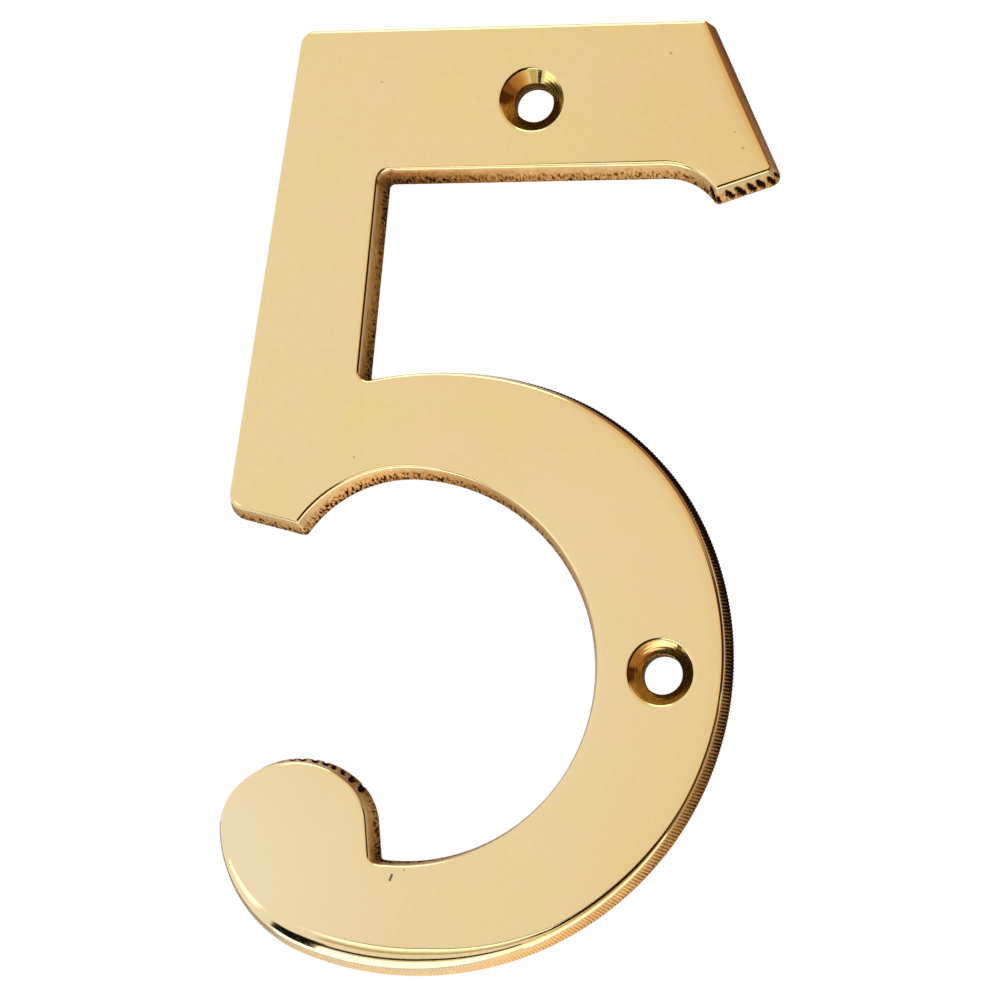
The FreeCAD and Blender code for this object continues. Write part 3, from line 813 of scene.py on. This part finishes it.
def ground_brass(colours):
    """The ground and filed sides: bare metal, browned metal and dark casting skin. It also paints the shade
    inside the drilled screw holes.
    """
    material, shader = new_material("ground_brass", colours.side_bright, 0.36)
    shader.inputs["Specular Tint"].default_value = (*colours.side_glance, 1.0)
    shader.inputs["Specular IOR Level"].default_value = 0.0
    tree = material.node_tree
    # Casting skin of the sides, and the painted shade of the drilled holes.
    skin = side_attribute(tree, "skin")
    flecks = side_attribute(tree, "flecks")
    grain = result_of("SUBTRACT", side_grain(tree, (5.0, 1.6, 1.0), 4.0), 0.5)
    brown = result_of("ADD", skin, result_of("MULTIPLY", grain, 0.3))
    fleck = mapped(side_grain(tree, (4.0, 0.8, 1.0), 2.0), 0.47, 0.62, high=0.6)
    brown = result_of("ADD", brown, result_of("MULTIPLY", fleck, flecks))
    colour = colour_ramp(brown, ((0.02, colours.side_pale), (0.16, colours.side_bright),
                                 (0.5, colours.side_brown_and_shade), (0.8, colours.side_dark_and_shade)))
    link(colour, shader.inputs["Base Color"])
    bare = mapped(brown, 0.4, 0.8, low=1.0, high=0.0)
    link(bare, shader.inputs["Metallic"])
    return material


def cast_brass(colours, mottle, specks):
    """The cast back with its mottle and fine grain."""
    material, shader = new_material("cast_brass", colours.back, 0.5)
    tree = material.node_tree
    clouded = blend(effect(tree, mottle, Scale=260.0), colours.back, colours.back_dark)
    scattered = effect(tree, specks, Scale=500.0, Share=0.3, Size=0.16)
    speckled = blend(scattered, clouded, colours.back_dark)
    link(speckled, shader.inputs["Base Color"])
    grain = new_node(tree, "Bump", Strength=0.5, Distance=0.0001)
    link(effect(tree, mottle, Scale=1800.0), grain.inputs["Height"])
    link(grain.outputs["Normal"], shader.inputs["Normal"])
    return material


def fill_plane(piece, plane):
    """Close the open loops that lie in a plane parallel to the back."""
    with edit_mode():
        bpy.ops.mesh.select_mode(type="EDGE")
        bpy.ops.mesh.select_all(action="DESELECT")
        bpy.ops.mesh.select_non_manifold(extend=False, use_wire=False, use_boundary=True,
                                         use_multi_face=False, use_non_contiguous=False, use_verts=False)
    mesh = piece.data
    for edge in mesh.edges:
        if edge.select:
            edge.select = all(abs(mesh.vertices[index].co.y - plane) < SAME_SEAM for index in edge.vertices)
    with edit_mode():
        bpy.ops.mesh.fill(use_beauty=True)


def build_numeral(sizes, colours):
    """Build the one cast piece and give it its finishes."""
    thickness = -CAD_BOX[0][1] / MM
    points, tangent = even_columns(back_outline(), sizes.spacing, STRAIGHT)
    from_bowl = np.linalg.norm(points - np.array(BOWL_CENTRE), axis=1)
    outer_side = (from_bowl > OUTER_BOWL) & (points[:, 1] < BELOW_CROWN)
    kept = outer_side | (np.arange(len(points)) % 2 == 0)
    sides = wall_sheet(points[kept], tangent[kept], sizes, thickness)
    upper = seat_sheet(MOUNTS["upper_screw_hole"], sizes, thickness)
    lower = seat_sheet(MOUNTS["lower_screw_hole"], sizes, thickness)
    only(sides, upper, lower)
    bpy.ops.object.join()
    piece = bpy.context.object
    piece.name = "brass_numeral"
    piece.data.name = "brass_numeral"
    fill_plane(piece, -thickness * MM)
    fill_plane(piece, 0.0)
    with edit_mode():
        bpy.ops.mesh.select_all(action="SELECT")
        bpy.ops.mesh.normals_make_consistent(inside=False)
    bpy.ops.object.shade_smooth()

    mottle = soft_mottle()
    specks = fine_specks()
    turned, _ = new_material("turned_brass", colours.face, 0.1)
    for material in (buffed_brass(colours, mottle, specks), ground_brass(colours),
                     cast_brass(colours, mottle, specks), turned):
        piece.data.materials.append(material)
    holes = [np.array(mount["pos_m"]) / MM for mount in MOUNTS.values() if "screw_hole" in mount["name"]]
    seat_reach = sizes.seat_diameter / 2
    skin = piece.data.attributes["skin"].data

    def finish_of(polygon):
        centre = polygon.center / MM
        if polygon.normal.y > BACK_TILT:
            return BACK
        if any(math.hypot(centre.x - hole[0], centre.z - hole[2]) < seat_reach for hole in holes):
            # A screw hole's bore, carrying painted shade, takes the sides' finish; the rest of the seat is
            # turned brass.
            return WALL if all(skin[index].value > 0 for index in polygon.vertices) else SEAT
        return WALL if any(skin[index].value > 0 for index in polygon.vertices) else FACE

    for polygon in piece.data.polygons:
        polygon.material_index = finish_of(polygon)
    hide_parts("numeral")
    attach(piece, "root")


def choose(amount, first, second, output):
    """Send one shader or the other to a surface."""
    mix = new_node(amount.id_data, "MixShader")
    link(amount, mix.inputs[0])
    link(first.outputs[0], mix.inputs[1])
    link(second.outputs[0], mix.inputs[2])
    link(mix.outputs[0], output.inputs["Surface"])


def room_light(scene, stage):
    """An even white room; matt surfaces get the soft light, the eye and the metal see plain white."""
    world = bpy.data.worlds.new("studio")
    scene.world = world
    world.use_nodes = True
    tree = world.node_tree
    tree.nodes.clear()
    rays = new_node(tree, "LightPath")
    seen = result_of("MAXIMUM", rays.outputs["Is Camera Ray"], rays.outputs["Is Glossy Ray"])
    seen = result_of("MAXIMUM", seen, rays.outputs["Is Transmission Ray"])
    light = new_node(tree, "Background", Strength=stage.soft_light)
    white = new_node(tree, "Background", Color=(*WHITE, 1.0), Strength=1.0)
    choose(seen, light, white, new_node(tree, "OutputWorld"))


def stand_camera(scene, stage):
    """The camera, turned to its target and then rolled."""
    camera_data = bpy.data.cameras.new("photo_camera")
    camera = bpy.data.objects.new("photo_camera", camera_data)
    scene.collection.objects.link(camera)
    camera_data.sensor_width = 36.0
    camera_data.lens = stage.lens
    camera_data.clip_start = 0.01
    camera_data.clip_end = 10.0
    place = Vector(stage.camera_place)
    forward = (Vector(stage.camera_target) - place).normalized()
    side = forward.cross(Vector((0, 0, 1))).normalized()
    upright = side.cross(forward)
    tilt = Matrix.Rotation(stage.camera_roll, 3, forward)
    turned = Matrix((tilt @ side, tilt @ upright, -forward)).transposed().to_4x4()
    turned.translation = place
    camera.matrix_world = turned
    scene.camera = camera


def lamp(scene, name, place, target, width, power):
    """A square soft box that the camera doesn't see."""
    lamp_data = bpy.data.lights.new(name, "AREA")
    lamp_data.shape = "SQUARE"
    lamp_data.size = width
    lamp_data.energy = power
    box = bpy.data.objects.new(name, lamp_data)
    scene.collection.objects.link(box)
    box.location = place
    box.rotation_mode = "QUATERNION"
    box.rotation_quaternion = (Vector(target) - Vector(place)).to_track_quat("-Z", "Y")
    box.visible_camera = False


def show_to_metal(name, material):
    """Name the mesh that was just added, and let only the metal's reflections show it."""
    card = bpy.context.object
    card.name = name
    card.data.materials.append(material)
    card.visible_camera = False
    card.visible_diffuse = False
    card.visible_shadow = False
    card.visible_transmission = False


def glow(name, colour):
    """A material that only glows, with its emission node."""
    material = bpy.data.materials.new(name)
    material.use_nodes = True
    tree = material.node_tree
    tree.nodes.clear()
    emission = new_node(tree, "Emission", Color=(*colour, 1.0))
    link(emission.outputs[0], new_node(tree, "OutputMaterial").inputs["Surface"])
    return material, emission


def room_bearing(tree):
    """The split place of a point on a card and its bearing from the numeral, with the front at zero."""
    place = new_node(tree, "TexCoord")
    split = new_node(tree, "SeparateXYZ")
    link(place.outputs["Object"], split.inputs["Vector"])
    in_front = result_of("MULTIPLY", split.outputs["Y"], -1.0)
    return split, result_of("ARCTAN2", split.outputs["X"], in_front)


def bearing_ramp(bearing, first, last, colours):
    """Colours along the room between two bearings."""
    return colour_ramp(mapped(bearing, first, last), colours)


def dim_finish(stage):
    """Glow of the dim side of the room: warm where it begins and up high, dark low down."""
    material, emission = glow("dim_side", BLACK)
    tree = material.node_tree
    split, bearing = room_bearing(tree)
    low = bearing_ramp(bearing, stage.dim_from, stage.dim_to, DIM_LOW_GLOW)
    high = bearing_ramp(bearing, stage.dim_from, stage.dim_high_to, DIM_HIGH_GLOW)
    height = mapped(split.outputs["Z"], *DIM_RISE)
    link(blend(height, low, high), emission.inputs["Color"])
    return material


def floor_finish(name, bearings, colours):
    """Glow of one part of the floor, with its colour set by the bearing."""
    material, emission = glow(name, BLACK)
    tree = material.node_tree
    _, bearing = room_bearing(tree)
    link(bearing_ramp(bearing, *bearings, colours), emission.inputs["Color"])
    return material


def keep_bearings(first, last):
    """Apply the place of the round card that was just added, and keep its faces between two bearings."""
    bpy.ops.object.transform_apply(location=True, rotation=False, scale=False)
    with edit_mode():
        bpy.ops.mesh.select_mode(type="FACE")
        bpy.ops.mesh.select_all(action="DESELECT")
    for polygon in bpy.context.object.data.polygons:
        bearing = math.atan2(polygon.center.x, -polygon.center.y)
        polygon.select = not first <= bearing <= last
    with edit_mode():
        bpy.ops.mesh.delete(type="FACE")


def floor_level(stage):
    """Height of the floor, in metres."""
    return CAD_BOX[0][2] - stage.floor_drop


def floor_sector(stage, name, bearings, cleared, colours):
    """A sector of the floor that only the metal reflects, on one side of the line where the dark floor
    begins."""
    bpy.ops.mesh.primitive_circle_add(vertices=ROOM_SIDES, radius=ROOM_RADIUS, fill_type="TRIFAN",
                                      location=(0, 0, floor_level(stage) + SECTOR_LIFT))
    keep_bearings(*bearings)
    with edit_mode():
        bpy.ops.mesh.select_all(action="SELECT")
        bpy.ops.mesh.bisect(plane_co=(0.0, DARK_LINE, 0.0), plane_no=(0.0, 1.0, 0.0), **{cleared: True})
    show_to_metal(name, floor_finish(name, bearings, colours))


def dim_side(stage):
    """The dim side of the room that the metal's right-hand edges reflect, and its floor."""
    coloured = dim_finish(stage)
    dark, _ = glow("dim_foot", DEEP_SHADOW)
    foot, low, high, top = ROOM_LEVELS
    for name, bottom, upper, first, last, material in (
            ("dim_side_foot", foot, low, FOOT_FROM, stage.dim_to, dark),
            ("dim_side_low", low, high, stage.dim_from, LOW_TO, coloured),
            ("dim_side_high", high, top, stage.dim_from, stage.dim_high_to, coloured)):
        bpy.ops.mesh.primitive_cylinder_add(
            vertices=ROOM_SIDES, radius=ROOM_RADIUS, depth=upper - bottom, end_fill_type="NOTHING",
            location=(0, 0, (bottom + upper) / 2))
        keep_bearings(first, last)
        show_to_metal(name, material)
    floor_sector(stage, "dim_floor", DIM_FLOOR, "clear_outer", DIM_FLOOR_GLOW)
    floor_sector(stage, "warm_floor", WARM_FLOOR, "clear_inner", WARM_FLOOR_GLOW)


def reflected_strip(name, first, last, height, colour):
    """A flat card between two corners (x, y) that only the metal reflects."""
    middle = ((first[0] + last[0]) / 2, (first[1] + last[1]) / 2, height)
    bpy.ops.mesh.primitive_plane_add(size=1.0, location=middle)
    bpy.context.object.scale = (abs(last[0] - first[0]), abs(last[1] - first[1]), 1.0)
    material, _ = glow(name, colour)
    show_to_metal(name, material)


def low_reflections(stage):
    """The flat cards over the floor and the lines below the numeral."""
    for cards, height in ((FLOOR_CARDS, floor_level(stage) + CARD_LIFT),
                          (LINE_CARDS, CAD_BOX[0][2] - LINE_DROP)):
        for name, (first, last, colour) in cards.items():
            reflected_strip(name, first, last, height, colour)


def pale_floor(stage):
    """A matt floor that takes the shadow and looks white in the metal."""
    bpy.ops.mesh.primitive_plane_add(size=4.0, location=(0, 0, floor_level(stage)))
    floor = bpy.context.object
    floor.name = "floor"
    material = bpy.data.materials.new("pale_floor")
    material.use_nodes = True
    tree = material.node_tree
    shader = tree.nodes["Principled BSDF"]
    shader.inputs["Base Color"].default_value = (0.82, 0.82, 0.82, 1)
    shader.inputs["Roughness"].default_value = 0.8
    white = new_node(tree, "Emission")
    rays = new_node(tree, "LightPath")
    mirrored = result_of("MAXIMUM", rays.outputs["Is Glossy Ray"], rays.outputs["Is Transmission Ray"])
    choose(mirrored, shader, white, tree.nodes["Material Output"])
    floor.data.materials.append(material)


def build_stage(stage):
    """Camera, light, floor and the cards that the metal reflects."""
    scene = bpy.context.scene
    scene.view_settings.view_transform = "Standard"
    stand_camera(scene, stage)
    room_light(scene, stage)

    pale_floor(stage)
    dim_side(stage)
    low_reflections(stage)
    lamp(scene, "top_box", place=(-0.1, -0.45, 1.1), target=(0, 0, -0.04), width=0.7, power=stage.top_power)
    lamp(scene, "low_box", place=(0.014, 0.08, -0.148), target=(0.014, 0.08, 0.0), width=0.2,
         power=stage.low_power)


class StageSettings(bpy.types.PropertyGroup):
    """Camera, floor and light."""

    camera_place: place_setting("Camera place", "Where the camera stands", (0.05628, -0.38161, -0.10404))
    camera_target: place_setting(
        "Camera target", "Point at the middle of the picture", (-0.00273, -0.004, -0.04309))
    camera_roll: angle_setting("Camera roll", "Turn of the camera about its line of sight", -0.983)
    lens: number_setting("Lens", "Focal length on a 36 mm sensor", 133.28, unit="CAMERA")
    floor_drop: number_setting("Floor drop", "Distance of the floor below the numeral", 0.06, unit="LENGTH")
    soft_light: number_setting("Soft light", "Strength of the even light on matt surfaces", 0.7, min=0.0)
    top_power: number_setting("Top lamp", "Power of the soft box above", 3.2, unit="POWER")
    low_power: number_setting("Low lamp", "Power of the soft box below", 0.16, unit="POWER")
    dim_from: angle_setting("Dim side from", "Bearing at which the room starts to dim", -9.0)
    dim_to: angle_setting("Dim side to", "Bearing at which the dim side of the room ends", 90.0)
    dim_high_to: angle_setting("High dim side to", "Bearing at which the dim side ends up high", 178.0)


class DOORNUMBER_OT_numeral(bpy.types.Operator):
    """Build the cast numeral with its finishes"""

    bl_idname = "door_number.numeral"
    bl_label = "Build numeral"
    bl_options = {"REGISTER", "UNDO"}

    def execute(self, context):
        build_numeral(context.scene.door_number_sizes, context.scene.door_number_colours)
        return {"FINISHED"}


class DOORNUMBER_OT_stage(bpy.types.Operator):
    """Set up the camera, floor and light"""

    bl_idname = "door_number.stage"
    bl_label = "Set up stage"
    bl_options = {"REGISTER", "UNDO"}

    def execute(self, context):
        build_stage(context.scene.door_number_stage)
        return {"FINISHED"}


class DOORNUMBER_PT_panel(bpy.types.Panel):
    """Sizes, colours and building steps of the door number"""

    bl_idname = "DOORNUMBER_PT_panel"
    bl_label = "Door number"
    bl_space_type = "VIEW_3D"
    bl_region_type = "UI"
    bl_category = "Door number"

    def draw(self, context):
        layout = self.layout
        for title, group, operator in (
                ("Sizes", context.scene.door_number_sizes, DOORNUMBER_OT_numeral.bl_idname),
                ("Colours", context.scene.door_number_colours, None),
                ("Stage", context.scene.door_number_stage, DOORNUMBER_OT_stage.bl_idname)):
            box = layout.box()
            box.label(text=title)
            for name in group.__annotations__:
                box.prop(group, name)
            if operator:
                box.operator(operator)


GROUPS = {
    "door_number_sizes": NumeralSizes,
    "door_number_colours": BrassColours,
    "door_number_stage": StageSettings,
}
CLASSES = (*GROUPS.values(), DOORNUMBER_OT_numeral, DOORNUMBER_OT_stage, DOORNUMBER_PT_panel)


def register():
    for item in CLASSES:
        bpy.utils.register_class(item)
    for name, group in GROUPS.items():
        setattr(bpy.types.Scene, name, bpy.props.PointerProperty(type=group))


def unregister():
    for name in GROUPS:
        delattr(bpy.types.Scene, name)
    for item in reversed(CLASSES):
        bpy.utils.unregister_class(item)


def main():
    register()
    bpy.ops.door_number.numeral()
    bpy.ops.door_number.stage()


if __name__ == "__main__":
    main()
